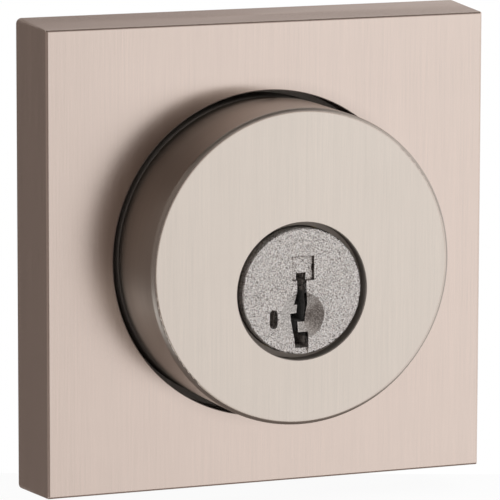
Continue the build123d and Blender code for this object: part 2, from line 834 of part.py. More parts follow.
# Screws from the inside plate into the outside posts
with BuildPart() as through_screws:
    with BuildSketch(inner_seat.offset(plate_thick)):
        with Locations(*through_spots):
            Circle(through_r)
    extrude(amount=-(door_thick + plate_thick))
    with BuildSketch(inner_seat.offset(plate_thick)):
        with Locations(*through_spots):
            Circle(through_head_r)
    extrude(amount=through_head)
    with BuildSketch(inner_seat.offset(plate_thick + through_head)):
        with Locations(*through_spots):
            Rectangle(2 * through_head_r, driver_slot)
            Rectangle(driver_slot, 2 * through_head_r)
    extrude(amount=-driver_slot_depth, mode=Mode.SUBTRACT)
through_screws.part.label = "through_screws"
export_step(through_screws.part, "parts/through_screws.step")

# Interior rose: the same drafted square, with a bearing for the thumbturn's spindle
spindle_bearing = rose_depth - rose_wall - spindle_boss
with BuildPart() as interior_rose:
    extrude(rose_outline(inner_seat), amount=rose_depth, taper=rose_draft)
    fillet(interior_rose.faces().sort_by(Axis.Y)[-1].edges(), rose_edge)
    extrude(
        rose_outline(inner_seat, rose_wall),
        amount=rose_depth - rose_wall,
        taper=rose_draft,
        mode=Mode.SUBTRACT,
    )
    with BuildSketch(inner_seat.offset(spindle_bearing)):
        Circle(spindle_boss_r)
        for angle in (45, 135):
            Rectangle(2 * rose_rib_reach, rose_rib, rotation=angle)
    extrude(amount=spindle_boss)
    with BuildSketch(inner_seat):
        Circle(spindle_r + running)
    extrude(amount=rose_depth, mode=Mode.SUBTRACT)
    with BuildSketch(Plane.XY):
        with Locations((0, door_thick + cover_screw_height)):
            Circle(cover_screw_r + slip)
    extrude(amount=-rose_back, mode=Mode.SUBTRACT)
interior_rose.part.label = "interior_rose"
export_step(interior_rose.part, "parts/interior_rose.step")

# Set screw that holds the interior rose to the plate's tab
rose_half_at_screw = rose_back / 2 - cover_screw_height * tan(radians(rose_draft))
with BuildPart() as cover_set_screw:
    with BuildSketch(Plane.XY.offset(cover_screw_sunk - rose_half_at_screw)):
        with Locations((0, door_thick + cover_screw_height)):
            Circle(cover_screw_r)
    extrude(amount=rose_half_at_screw + cover_tab_z)
    with BuildSketch(Plane.XY.offset(cover_screw_sunk - rose_half_at_screw)):
        with Locations((0, door_thick + cover_screw_height)):
            RegularPolygon(cover_screw_r / 2, 6)
    extrude(amount=driver_slot_depth, mode=Mode.SUBTRACT)
cover_set_screw.part.label = "cover_set_screw"
export_step(cover_set_screw.part, "parts/cover_set_screw.step")

# Thumbturn spindle: slotted for the blade, grooved for its clip
spindle_clip_low = spindle_bearing - slip - clip_thick
with BuildPart() as thumbturn_spindle:
    with BuildSketch(inner_seat.offset(spindle_start)):
        Circle(spindle_r)
    extrude(amount=turn_low + spindle_grip - spindle_start)
    with BuildSketch(inner_seat.offset(spindle_start)):
        Rectangle(blade_thick + 2 * slip, blade_width + 2 * slip)
    extrude(amount=blade_end + slip - door_thick - spindle_start, mode=Mode.SUBTRACT)
    extrude(
        ring(inner_seat.offset(spindle_clip_low), spindle_r, spindle_r - clip_bite),
        amount=clip_thick + slip,
        mode=Mode.SUBTRACT,
    )
thumbturn_spindle.part.label = "thumbturn_spindle"
export_step(thumbturn_spindle.part, "parts/thumbturn_spindle.step")

with BuildPart() as spindle_clip:
    clip_plane = inner_seat.offset(spindle_clip_low)
    extrude(ring(clip_plane, spindle_r + clip_rim, spindle_r - clip_bite + pressed), amount=clip_thick)
spindle_clip.part.label = "spindle_clip"
export_step(spindle_clip.part, "parts/spindle_clip.step")

# Washer under the thumbturn
with BuildPart() as wave_washer:
    extrude(ring(inner_seat.offset(washer_low), washer_r, spindle_r + slip), amount=washer_thick)
wave_washer.part.label = "wave_washer"
export_step(wave_washer.part, "parts/wave_washer.step")

# Thumbturn: round foot and a flat paddle, upright when the bolt is drawn back
with BuildPart() as thumbturn:
    with BuildSketch(inner_seat.offset(turn_low)):
        RectangleRounded(paddle_thick, paddle_width, paddle_corner)
    extrude(amount=paddle_height, taper=paddle_taper)
    fillet(thumbturn.faces().sort_by(Axis.Y)[-1].edges(), paddle_edge)
    with BuildSketch(inner_seat.offset(turn_low)):
        Circle(turn_base_r)
    extrude(amount=turn_base)
    with BuildSketch(inner_seat.offset(turn_low)):
        Circle(spindle_r + slip)
    extrude(amount=spindle_grip + slip, mode=Mode.SUBTRACT)
thumbturn.part.label = "thumbturn"
export_step(thumbturn.part, "parts/thumbturn.step")
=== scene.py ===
# %% [markdown]
# A deadbolt with square roses, dressed for a studio picture. The solids come from the packed frame at
# their real size, in metres, with the turn axis along Y and the key side at -Y. This lesson adds the
# camera, the light, the finishes and a few fine pieces. The box of the solids is kept first.

# %% Load the frame
import math

import bmesh
import bpy
from mathutils import Matrix, Vector


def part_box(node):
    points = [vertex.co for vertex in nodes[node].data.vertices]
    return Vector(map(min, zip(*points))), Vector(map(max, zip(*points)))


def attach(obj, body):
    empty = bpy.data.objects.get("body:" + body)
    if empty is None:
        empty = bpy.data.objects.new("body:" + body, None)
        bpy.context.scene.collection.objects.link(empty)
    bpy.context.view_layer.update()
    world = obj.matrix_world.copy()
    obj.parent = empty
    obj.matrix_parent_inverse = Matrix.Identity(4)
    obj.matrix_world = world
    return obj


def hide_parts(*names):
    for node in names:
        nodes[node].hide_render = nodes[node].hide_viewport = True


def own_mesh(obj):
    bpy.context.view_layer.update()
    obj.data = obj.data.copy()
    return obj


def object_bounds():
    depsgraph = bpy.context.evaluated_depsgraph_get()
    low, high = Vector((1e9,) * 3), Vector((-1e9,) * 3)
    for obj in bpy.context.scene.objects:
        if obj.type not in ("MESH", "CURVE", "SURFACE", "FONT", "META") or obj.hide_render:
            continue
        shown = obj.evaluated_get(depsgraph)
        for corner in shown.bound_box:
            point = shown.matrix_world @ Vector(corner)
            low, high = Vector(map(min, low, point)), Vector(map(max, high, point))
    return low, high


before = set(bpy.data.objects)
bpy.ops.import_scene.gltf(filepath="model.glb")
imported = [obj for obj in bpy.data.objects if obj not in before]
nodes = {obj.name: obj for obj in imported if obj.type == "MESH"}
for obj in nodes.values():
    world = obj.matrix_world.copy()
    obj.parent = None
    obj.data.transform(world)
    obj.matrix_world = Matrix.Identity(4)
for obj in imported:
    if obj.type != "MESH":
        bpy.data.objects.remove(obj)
cad_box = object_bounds()

# %% [markdown]
# The picture is a long-lens view of the key side, a little from the left and a little from above. A
# long lens is a small field of view from far off, so the edges of the square stay almost parallel.
# When the lock is in use, everything behind the outer rose is out of sight. The inner pieces could be
# hidden for that, but then they would be missing from every view. So this camera stops seeing just
# behind the rose instead.

# %% Camera
VIEW_AZIMUTH = math.radians(-21.87)
VIEW_ELEVATION = math.radians(9.33)
VIEW_ROLL = math.radians(0.14)
VIEW_DISTANCE = 0.6742
LENS_MM = 334.2
SENSOR_MM = 36.0
NEAREST_SEEN = 0.01
DOOR_FACE_DEPTH = 0.0192
AIM_RIGHT = 0.0017
AIM_DROP = 0.0013

rose_low, rose_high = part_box("exterior_rose")
trim_lift = (rose_low.z + rose_high.z) / 2
aim = Vector((AIM_RIGHT, 0.0, trim_lift - AIM_DROP))
back = Vector((
    math.sin(VIEW_AZIMUTH) * math.cos(VIEW_ELEVATION),
    -math.cos(VIEW_AZIMUTH) * math.cos(VIEW_ELEVATION),
    math.sin(VIEW_ELEVATION),
))
camera_data = bpy.data.cameras.new("camera")
camera_data.lens = LENS_MM
camera_data.sensor_width = SENSOR_MM
camera_data.clip_start = NEAREST_SEEN
camera_data.clip_end = VIEW_DISTANCE + DOOR_FACE_DEPTH
camera = bpy.data.objects.new("camera", camera_data)
bpy.context.scene.collection.objects.link(camera)
level = (-back).to_track_quat("-Z", "Y").to_matrix().to_4x4()
rolled = level @ Matrix.Rotation(VIEW_ROLL, 4, "Z")
camera.matrix_world = Matrix.Translation(aim + back * VIEW_DISTANCE) @ rolled
bpy.context.scene.camera = camera
bpy.context.scene.view_settings.view_transform = "Standard"
print("camera at", [round(c, 4) for c in camera.location])

# %% [markdown]
# Every light, card and finish in this lesson is a small tree of nodes. By hand, they would be
# joined in the shader editor. In a script a few helpers keep that short: the first links another
# node to a socket or sets a plain value on it, and the others make the nodes that come back
# again and again.

# %% Helpers for nodes
def feed(tree, value, socket):
    """Link another node's output to a socket, or set a plain value on it."""
    if isinstance(value, bpy.types.NodeSocket):
        tree.links.new(value, socket)
    else:
        socket.default_value = value


def math_node(tree, operation, *values):
    """The result of a math node on links and plain numbers."""
    node = tree.nodes.new("ShaderNodeMath")
    node.operation = operation
    for value, socket in zip(values, node.inputs):
        feed(tree, value, socket)
    return node.outputs[0]


def chosen_shader(tree, mask, off, on):
    """One shader where a mask is zero and another where it is one."""
    node = tree.nodes.new("ShaderNodeMixShader")
    for value, socket in zip((mask, off, on), node.inputs):
        feed(tree, value, socket)
    return node.outputs[0]


print("node helpers ready")

# %% [markdown]
# The world is the light that comes from everywhere. It is white to the eye, to mirrors and to
# glass, at a strength of one, so that a metal's colour renders as it is written. Bounced light
# is a little softer. A picture of a real studio could be wrapped round the scene instead, but
# plain white is the same from all sides and needs no file.

# %% World
BOUNCE_STRENGTH = 0.8
WHITE = (1.0, 1.0, 1.0, 1.0)

world = bpy.data.worlds.new("studio")
bpy.context.scene.world = world
world.use_nodes = True
sky = world.node_tree
sky.nodes.clear()
rays = sky.nodes.new("ShaderNodeLightPath").outputs
seen = math_node(sky, "MAXIMUM", rays["Is Camera Ray"], rays["Is Glossy Ray"])
seen = math_node(sky, "MAXIMUM", seen, rays["Is Transmission Ray"])
bounce = sky.nodes.new("ShaderNodeBackground")
bounce.inputs["Color"].default_value = WHITE
bounce.inputs["Strength"].default_value = BOUNCE_STRENGTH
white = sky.nodes.new("ShaderNodeBackground")
white.inputs["Color"].default_value = WHITE
sky_out = sky.nodes.new("ShaderNodeOutputWorld")
sky_light = chosen_shader(sky, seen, bounce.outputs[0], white.outputs[0])
feed(sky, sky_light, sky_out.inputs["Surface"])
print("world", world.name)

# %% [markdown]
# A pale floor lies under the lock. White paint alone would render grey, because it sends back
# only a part of the light. More lamps would lift it, but they would lift the metal too. So to
# the camera's rays alone the floor is mostly a white glow. The rest is paint, which keeps a soft
# shadow. Reflections don't see the floor. They see a card that lies further down.

# %% Floor
FLOOR_GREY = 0.9
FLOOR_ROUGHNESS = 0.9
FLOOR_REACH = 6.0
FLOOR_GLOW = 0.94


def stage_plane(name, corners, material):
    """A flat card or floor that isn't part of the lock."""
    mesh = bpy.data.meshes.new(name)
    mesh.from_pydata(corners, [], [(0, 1, 2, 3)])
    mesh.materials.append(material)
    plane = bpy.data.objects.new(name, mesh)
    bpy.context.scene.collection.objects.link(plane)
    return plane


floor_paint = bpy.data.materials.new("floor_paint")
floor_paint.use_nodes = True
floor_tree = floor_paint.node_tree
floor_shader = floor_tree.nodes["Principled BSDF"]
floor_shader.inputs["Base Color"].default_value = (FLOOR_GREY, FLOOR_GREY, FLOOR_GREY, 1.0)
floor_shader.inputs["Roughness"].default_value = FLOOR_ROUGHNESS
floor_rays = floor_tree.nodes.new("ShaderNodeLightPath").outputs
floor_share = math_node(floor_tree, "MULTIPLY", floor_rays["Is Camera Ray"], FLOOR_GLOW)
floor_glow = floor_tree.nodes.new("ShaderNodeEmission")
floor_light = chosen_shader(floor_tree, floor_share, floor_shader.outputs[0], floor_glow.outputs[0])
feed(floor_tree, floor_light, floor_tree.nodes["Material Output"].inputs["Surface"])
floor_z = cad_box[0].z
floor = stage_plane("floor", [
    (-FLOOR_REACH, -FLOOR_REACH, floor_z),
    (FLOOR_REACH, -FLOOR_REACH, floor_z),
    (FLOOR_REACH, FLOOR_REACH, floor_z),
    (-FLOOR_REACH, FLOOR_REACH, floor_z),
], floor_paint)
floor.visible_glossy = False
print("floor at", round(floor_z, 4))

# %% [markdown]
# Many effects here depend on where a point lies: a card fades along one axis, and a bore is dark
# inside a circle. The place comes from the piece's own coordinates. They are in metres, because
# no piece is scaled, and they move with the piece. World coordinates would do for a still
# picture, but then a pattern would slide over a piece that turns.

# %% Helpers for places
def object_place(tree):
    """The place of a point on its piece, in metres."""
    return tree.nodes.new("ShaderNodeTexCoord").outputs["Object"]


def split_axes(tree, vector):
    """The X, Y and Z of a vector, by name."""
    node = tree.nodes.new("ShaderNodeSeparateXYZ")
    feed(tree, vector, node.inputs[0])
    return node.outputs


def vector_node(tree, operation, first, second):
    """The result of a vector math node: a number for a distance, or else a vector."""
    node = tree.nodes.new("ShaderNodeVectorMath")
    node.operation = operation
    feed(tree, first, node.inputs[0])
    feed(tree, second, node.inputs[1])
    return node.outputs["Value" if operation == "DISTANCE" else "Vector"]


print("place helpers ready")

# %% [markdown]
# Metal has little look of its own: it shows what stands round it. A product studio puts cards
# there, some pale and some dark, and so does this one. A card could be one even grey, but a card
# that fades from dark to pale gives a soft change of tone on flat metal. Its glow is a ramp
# across it times a ramp up it. The dark end is a little warmer, as a shaded room is.

# %% Cloth of the cards
WARM = Vector((1.12, 0.92, 0.82))
PALE = Vector((1.0, 1.0, 1.0))


def glow_along(tree, axis, stops):
    """A ramp of glow along one axis: stops are pairs of a place, in metres, and a glow."""
    first = stops[0][0]
    last = stops[-1][0]
    fit = tree.nodes.new("ShaderNodeMapRange")
    fit.inputs["From Min"].default_value = first
    fit.inputs["From Max"].default_value = last
    feed(tree, split_axes(tree, object_place(tree))[axis], fit.inputs["Value"])
    ramp = tree.nodes.new("ShaderNodeValToRGB")
    feed(tree, fit.outputs[0], ramp.inputs[0])
    while len(ramp.color_ramp.elements) < len(stops):
        ramp.color_ramp.elements.new(1.0)
    for element, (spot, glow) in zip(ramp.color_ramp.elements, stops):
        element.position = (spot - first) / (last - first)
        element.color = (*(WARM.lerp(PALE, glow) * glow), 1.0)
    return ramp.outputs[0]


def card_cloth(name, axis, across, upward):
    """A cloth whose glow is a ramp across it times a ramp up it."""
    material = bpy.data.materials.new(name)
    material.use_nodes = True
    tree = material.node_tree
    tree.nodes.clear()
    glow = vector_node(tree, "MULTIPLY", glow_along(tree, axis, across), glow_along(tree, "Z", upward))
    light = tree.nodes.new("ShaderNodeEmission")
    feed(tree, glow, light.inputs["Color"])
    target = tree.nodes.new("ShaderNodeOutputMaterial")
    feed(tree, light.outputs[0], target.inputs["Surface"])
    return material


print("cards fade from", tuple(round(part, 2) for part in WARM), "to white")

# %% [markdown]
# Six cards make a box round the lock, and only reflections can see them. The one in front is
# pale at the right, where the faces of the rose and the drum look, and dark at the left, which
# the drum's side shows. The cards at the left, below and overhead are dim, and so is the left
# half of the one behind, so the sides of the square come out darker than its face. Without them
# every face would be equally bright and the shape would be lost. Some cards stop short of the
# next one, and the white world shows through there as a soft light.

# %% Corners of the cards
STUDIO_LEFT = -0.56
STUDIO_RIGHT = 0.45
STUDIO_FRONT = -0.60
STUDIO_BACK = 0.40
STUDIO_BOTTOM = -0.45
STUDIO_TOP = 0.62
LEFT_FOOT = -0.20
FRONT_FOOT = -0.55
FRONT_LEFT_FOOT = -0.25
BACK_LEFT = -0.58
BACK_RIGHT = 0.62
BACK_FOOT = -0.40
BACK_TOP = 0.42
OVERHEAD_RIGHT = 0.75


def upright_card(start, end, foot, top=STUDIO_TOP):
    """Corners of a card that stands over the line from start to end."""
    return [(*start, foot), (*end, foot), (*end, top), (*start, top)]


def level_card(right, height):
    """Corners of a card that lies flat, from the studio's left to its own right end."""
    return [
        (STUDIO_LEFT, STUDIO_FRONT, height),
        (right, STUDIO_FRONT, height),
        (right, STUDIO_BACK, height),
        (STUDIO_LEFT, STUDIO_BACK, height),
    ]


front_left = (STUDIO_LEFT, STUDIO_FRONT)
front_right = (STUDIO_RIGHT, STUDIO_FRONT)
back_left = (STUDIO_LEFT, STUDIO_BACK)
back_right = (STUDIO_RIGHT, STUDIO_BACK)
front_card = upright_card(front_left, front_right, FRONT_FOOT)
front_card[0] = (*front_left, FRONT_LEFT_FOOT)
back_card = upright_card((BACK_LEFT, STUDIO_BACK), (BACK_RIGHT, STUDIO_BACK), BACK_FOOT, BACK_TOP)
print("studio", round(STUDIO_RIGHT - STUDIO_LEFT, 2), "m wide")

# %% [markdown]
# Each card gets its corners, the axis that its fade follows, and its two ramps. The places in the
# ramps were found by trying: a face of the lock reflects one small spot of a card, so a change of
# the ramp at that spot changes the tone of that face and of little else.

# %% Six cards
EVEN = [(-1.0, 1.0), (1.0, 1.0)]
FADE_BEHIND = [(-0.17, 0.15), (0.1, 0.30), (0.3, 0.6), (0.45, 0.9)]
FADE_IN_FRONT = [(-0.12, 0.17), (0.05, 0.53), (0.16, 0.95), (0.27, 1.0)]
FADE_UP_FRONT = [(-0.22, 0.92), (-0.06, 1.0), (0.0, 1.0), (0.12, 0.95), (0.22, 0.65), (0.4, 0.3)]
FADE_AT_LEFT = [(-0.6, 0.26), (0.4, 0.26)]
FADE_AT_RIGHT = [(-0.6, 0.75), (-0.2, 0.85), (0.0, 0.88), (0.4, 0.9)]
FADE_BELOW = [(-0.56, 0.15), (0.45, 0.25)]
FADE_OVERHEAD = [(-0.56, 0.06), (0.75, 0.14)]
CARDS = [
    ("card_behind", back_card, "X", FADE_BEHIND, EVEN),
    ("card_in_front", front_card, "X", FADE_IN_FRONT, FADE_UP_FRONT),
    ("card_at_left", upright_card(front_left, back_left, LEFT_FOOT), "Y", FADE_AT_LEFT, EVEN),
    ("card_at_right", upright_card(front_right, back_right, STUDIO_BOTTOM), "Y", FADE_AT_RIGHT, EVEN),
    ("card_below", level_card(STUDIO_RIGHT, STUDIO_BOTTOM), "X", FADE_BELOW, EVEN),
    ("card_overhead", level_card(OVERHEAD_RIGHT, STUDIO_TOP), "X", FADE_OVERHEAD, EVEN),
]
for card_name, card_corners, axis, across, upward in CARDS:
    card = stage_plane(card_name, card_corners, card_cloth(card_name, axis, across, upward))
    card.visible_camera = False
    card.visible_diffuse = False
    card.visible_shadow = False
print(len(CARDS), "cards")

# %% [markdown]
# Two large soft lamps give the floor its shadow and the dull pieces a little shape. The cards do
# most of the work on metal, so the lamps are weak. One stands in front at the right and the other
# behind at the left. Small lamps would leave hard shadows and hot spots.

# %% Lamps
LAMPS = [
    ("key_light", (0.55, -0.85, 0.75), 0.7, 3.0),
    ("fill_light", (-0.8, 0.9, 0.7), 0.8, 2.5),
]
for lamp_name, lamp_place, lamp_size, lamp_watts in LAMPS:
    lamp_data = bpy.data.lights.new(lamp_name, "AREA")
    lamp_data.size = lamp_size
    lamp_data.energy = lamp_watts
    lamp = bpy.data.objects.new(lamp_name, lamp_data)
    lamp.location = lamp_place
    lamp.rotation_euler = (-Vector(lamp_place)).to_track_quat("-Z", "Y").to_euler()
    bpy.context.scene.collection.objects.link(lamp)
print(len(LAMPS), "soft lamps")

# %% [markdown]
# Some effects belong to more than one finish: brushed lines, grain, dark corners. Each of them is
# a node group, which is built once and placed in each material with its own values. The same
# nodes could be copied into each material, but then every change would be made many times. The
# groups share three helpers: one makes an empty group with named sockets, one makes a colour
# lighter or darker, and one makes a noise.

# %% Helpers for node groups
NOISE_MIDDLE = 0.5
LINE_NOISE_ROUGHNESS = 0.6
METAL_GIVES = [
    ("Colour", "NodeSocketColor"),
    ("Roughness", "NodeSocketFloat"),
    ("Height", "NodeSocketFloat"),
]


def group_with(name, takes, gives):
    """An empty shader node group, with what it takes and what it gives by name."""
    tree = bpy.data.node_groups.new(name, "ShaderNodeTree")
    for socket, kind, value in takes:
        made = tree.interface.new_socket(socket, in_out="INPUT", socket_type=kind)
        made.default_value = value
    for socket, kind in gives:
        tree.interface.new_socket(socket, in_out="OUTPUT", socket_type=kind)
    start = tree.nodes.new("NodeGroupInput")
    end = tree.nodes.new("NodeGroupOutput")
    return tree, start.outputs, end.inputs


def tinted(tree, colour, factor):
    """A colour made lighter or darker by a factor round one."""
    node = tree.nodes.new("ShaderNodeVectorMath")
    node.operation = "SCALE"
    feed(tree, colour, node.inputs[0])
    feed(tree, factor, node.inputs["Scale"])
    return node.outputs[0]


def noise(tree, vector, scale, detail, roughness=LINE_NOISE_ROUGHNESS):
    """A noise value over a vector."""
    node = tree.nodes.new("ShaderNodeTexNoise")
    feed(tree, vector, node.inputs["Vector"])
    feed(tree, scale, node.inputs["Scale"])
    feed(tree, detail, node.inputs["Detail"])
    feed(tree, roughness, node.inputs["Roughness"])
    return node.outputs[0]


print("group helpers ready")

# %% [markdown]
# A mask is zero in one place and one in another, and it chooses between two values. The Mix node
# does that for numbers, vectors and colours, and keeps the sockets of all three side by side. A
# small table says which of them belong together: the two inputs and the output.

# %% Choice by a mask
MIX_SOCKETS = {"FLOAT": (2, 3, 0), "VECTOR": (4, 5, 1), "RGBA": (6, 7, 2)}


def chosen(tree, kind, mask, off, on):
    """One value where a mask is zero and another where it is one."""
    off_socket, on_socket, result = MIX_SOCKETS[kind]
    node = tree.nodes.new("ShaderNodeMix")
    node.data_type = kind
    feed(tree, mask, node.inputs["Factor"])
    feed(tree, off, node.inputs[off_socket])
    feed(tree, on, node.inputs[on_socket])
    return node.outputs[result]


print("a mask can choose between", ", ".join(MIX_SOCKETS))

# %% [markdown]
# Brushing leaves fine lines in one direction, each a little lighter or darker than the next and
# a little rougher. The faces of a rose are brushed upright, and its sides along their edges. So
# the group takes two directions, and looks at the normal to know a face from a side. A direction
# is a number of lines per metre on each axis: many across the lines and few along them. A picture
# of scratches could be wrapped on instead, but it would need a flat layout of every piece.

# %% Brushed lines: which way they run
FACE_TILT = 0.92

brushed, brush_takes, brush_gives = group_with(
    "brushed_lines",
    [
        ("Colour", "NodeSocketColor", (0.6, 0.6, 0.6, 1.0)),
        ("Face Lines", "NodeSocketVector", (4200.0, 4200.0, 60.0)),
        ("Side Lines", "NodeSocketVector", (4200.0, 4200.0, 60.0)),
        ("Contrast", "NodeSocketFloat", 0.1),
        ("Clouds", "NodeSocketFloat", 0.06),
        ("Roughness", "NodeSocketFloat", 0.3),
        ("Side Roughness", "NodeSocketFloat", 0.3),
        ("Painted Side Shade", "NodeSocketFloat", 0.0),
        ("Rough Contrast", "NodeSocketFloat", 0.12),
    ],
    METAL_GIVES,
)
facing = brushed.nodes.new("ShaderNodeTexCoord").outputs["Normal"]
along_y = math_node(brushed, "ABSOLUTE", split_axes(brushed, facing)["Y"])
on_face = math_node(brushed, "GREATER_THAN", along_y, FACE_TILT)
off_face = math_node(brushed, "SUBTRACT", 1.0, on_face)
line_stretch = chosen(brushed, "VECTOR", on_face, brush_takes["Side Lines"], brush_takes["Face Lines"])
brush_place = object_place(brushed)
line_place = vector_node(brushed, "MULTIPLY", brush_place, line_stretch)
print("a face lies within", round(math.degrees(math.acos(FACE_TILT))), "degrees of square to Y")

# %% [markdown]
# Two noises over the stretched place make the lines: one for single scratches and one for broad
# streaks. A third noise, not stretched, lets the lines come and go in patches, as they do under a
# worn belt. A fourth lays faint clouds over the whole. One noise alone would look like even
# stripes.

# %% Brushed lines: scratches, streaks and clouds
SCRATCH_SCALE = 1.0
STREAK_SCALE = 0.16
PATCHES_PER_METRE = 130.0
CLOUDS_PER_METRE = 90.0
FINE_DETAIL = 3.0
BROAD_DETAIL = 2.0
FINE_SHARE = 0.6
PATCH_GAIN = 2.0

scratches = noise(brushed, line_place, SCRATCH_SCALE, FINE_DETAIL)
streaks = noise(brushed, line_place, STREAK_SCALE, BROAD_DETAIL)
fine = math_node(brushed, "SUBTRACT", scratches, NOISE_MIDDLE)
fine = math_node(brushed, "MULTIPLY", fine, FINE_SHARE)
broad = math_node(brushed, "SUBTRACT", streaks, NOISE_MIDDLE)
broad = math_node(brushed, "MULTIPLY", broad, 1.0 - FINE_SHARE)
patches = noise(brushed, brush_place, PATCHES_PER_METRE, BROAD_DETAIL)
patches = math_node(brushed, "MULTIPLY", patches, PATCH_GAIN)
lines = math_node(brushed, "ADD", fine, broad)
lines = math_node(brushed, "MULTIPLY", lines, patches)
clouds = noise(brushed, brush_place, CLOUDS_PER_METRE, FINE_DETAIL)
clouds = math_node(brushed, "SUBTRACT", clouds, NOISE_MIDDLE)
print("lines are", round(100 * FINE_SHARE), "percent scratches")

# %% [markdown]
# The lines and clouds then shade the colour, and the lines also change the roughness. A side can be
# rougher than a face, because a belt hardly reaches it, and painted shade can make it darker than a
# face. The scratches alone give the height, for the bump in the material.

# %% Brushed lines: colour, roughness and height
line_shade = math_node(brushed, "MULTIPLY", lines, brush_takes["Contrast"])
cloud_shade = math_node(brushed, "MULTIPLY", clouds, brush_takes["Clouds"])
shade = math_node(brushed, "ADD", line_shade, cloud_shade)
shade = math_node(brushed, "ADD", shade, 1.0)
# Painted shade: a side's colour is made darker than a face's.
side_shade_loss = math_node(brushed, "MULTIPLY", off_face, brush_takes["Painted Side Shade"])
side_shade_kept = math_node(brushed, "SUBTRACT", 1.0, side_shade_loss)
shade = math_node(brushed, "MULTIPLY", shade, side_shade_kept)
feed(brushed, tinted(brushed, brush_takes["Colour"], shade), brush_gives["Colour"])
base_rough = chosen(brushed, "FLOAT", on_face, brush_takes["Side Roughness"], brush_takes["Roughness"])
rough_swing = math_node(brushed, "MULTIPLY", lines, brush_takes["Rough Contrast"])
feed(brushed, math_node(brushed, "ADD", base_rough, rough_swing), brush_gives["Roughness"])
feed(brushed, scratches, brush_gives["Height"])
print("group", brushed.name, "with", len(brushed.nodes), "nodes")

# %% [markdown]
# A cast or plated face has no direction. It sparkles in small grains, where the surface of the
# mould shows through the plating. A cell texture gives each grain its own tone, and a noise of
# the same size breaks the cells up. Real bumps in the mesh would be far too many.

# %% Cast grain
CELL_SHARE = 0.6
SPECK_DETAIL = 3.0
SPECK_ROUGHNESS = 0.5
SPECK_SPREAD = 2.5
GRIT_MIDDLE = 0.3
ROUGH_SHARE = 0.4

grain, grain_takes, grain_gives = group_with(
    "cast_grain",
    [
        ("Colour", "NodeSocketColor", (0.5, 0.5, 0.5, 1.0)),
        ("Grains per Metre", "NodeSocketFloat", 5200.0),
        ("Contrast", "NodeSocketFloat", 0.5),
        ("Roughness", "NodeSocketFloat", 0.4),
    ],
    METAL_GIVES,
)
grain_place = object_place(grain)
cells = grain.nodes.new("ShaderNodeTexVoronoi")
feed(grain, grain_place, cells.inputs["Vector"])
feed(grain, grain_takes["Grains per Metre"], cells.inputs["Scale"])
cell_tone = grain.nodes.new("ShaderNodeSeparateColor")
feed(grain, cells.outputs["Color"], cell_tone.inputs[0])
cell_grit = math_node(grain, "MULTIPLY", cell_tone.outputs[0], CELL_SHARE)
specks = noise(grain, grain_place, grain_takes["Grains per Metre"], SPECK_DETAIL, SPECK_ROUGHNESS)
specks = math_node(grain, "SUBTRACT", specks, NOISE_MIDDLE)
specks = math_node(grain, "MULTIPLY", specks, SPECK_SPREAD)
grit = math_node(grain, "ADD", cell_grit, specks)
swing = math_node(grain, "SUBTRACT", grit, GRIT_MIDDLE)
swing = math_node(grain, "MULTIPLY", swing, grain_takes["Contrast"])
grain_shade = math_node(grain, "ADD", swing, 1.0)
feed(grain, tinted(grain, grain_takes["Colour"], grain_shade), grain_gives["Colour"])
grain_rough = math_node(grain, "MULTIPLY", swing, ROUGH_SHARE)
grain_rough = math_node(grain, "ADD", grain_takes["Roughness"], grain_rough)
feed(grain, grain_rough, grain_gives["Roughness"])
feed(grain, grit, grain_gives["Height"])
print("group", grain.name, "with", len(grain.nodes), "nodes")

# %% [markdown]
# Inside corners, narrow gaps and the feet of raised pieces get less light than an open face. This
# group paints that shade into the colour and finds the places by itself: it darkens a colour by how
# much of the sky a point is cut off from, within a short reach.

# %% Shaded corners
CORNER_REACH = 0.003
CORNER_DEPTH = 0.35
CORNER_SAMPLES = 8

corners, corner_takes, corner_gives = group_with(
    "shaded_corners",
    [
        ("Colour", "NodeSocketColor", (0.5, 0.5, 0.5, 1.0)),
        ("Reach", "NodeSocketFloat", CORNER_REACH),
        ("Depth", "NodeSocketFloat", CORNER_DEPTH),
    ],
    [("Colour", "NodeSocketColor")],
)
cut_off = corners.nodes.new("ShaderNodeAmbientOcclusion")
cut_off.samples = CORNER_SAMPLES
feed(corners, corner_takes["Reach"], cut_off.inputs["Distance"])
hidden = math_node(corners, "SUBTRACT", 1.0, cut_off.outputs["AO"])
corner_loss = math_node(corners, "MULTIPLY", hidden, corner_takes["Depth"])
corner_kept = math_node(corners, "SUBTRACT", 1.0, corner_loss)
feed(corners, tinted(corners, corner_takes["Colour"], corner_kept), corner_gives["Colour"])
print("group", corners.name, "with", len(corners.nodes), "nodes")

# %% [markdown]
# The groove round the key plug, the gap round the drum and the depth of the keyway aren't brushed. The
# plating is thin there and dust gathers, so they stay dull, and painted shade makes them dark. A
# second material on those faces would need to know each face. A mask by place is simpler: the group
# darkens with painted shade and roughens what lies inside a cylinder along Y, and what lies deeper
# into the lock than a plane across Y. Dust isn't metal, so the mask can lower Metallic too.

# %% Dark bores
ACROSS_Y = (1.0, 0.0, 1.0)

bores, bore_takes, bore_gives = group_with(
    "dark_bores",
    [
        ("Colour", "NodeSocketColor", (0.5, 0.5, 0.5, 1.0)),
        ("Centre", "NodeSocketVector", (0.0, 0.0, 0.0)),
        ("Radius", "NodeSocketFloat", 0.0),
        ("Depth", "NodeSocketFloat", 1.0),
        ("Kept", "NodeSocketFloat", 0.3),
        ("Roughness", "NodeSocketFloat", 0.2),
        ("Added Roughness", "NodeSocketFloat", 0.4),
        ("Dust", "NodeSocketFloat", 0.7),
    ],
    [
        ("Colour", "NodeSocketColor"),
        ("Roughness", "NodeSocketFloat"),
        ("Metallic", "NodeSocketFloat"),
    ],
)
bore_place = object_place(bores)
bore_flat = vector_node(bores, "MULTIPLY", bore_place, ACROSS_Y)
bore_reach = vector_node(bores, "DISTANCE", bore_flat, bore_takes["Centre"])
inside = math_node(bores, "LESS_THAN", bore_reach, bore_takes["Radius"])
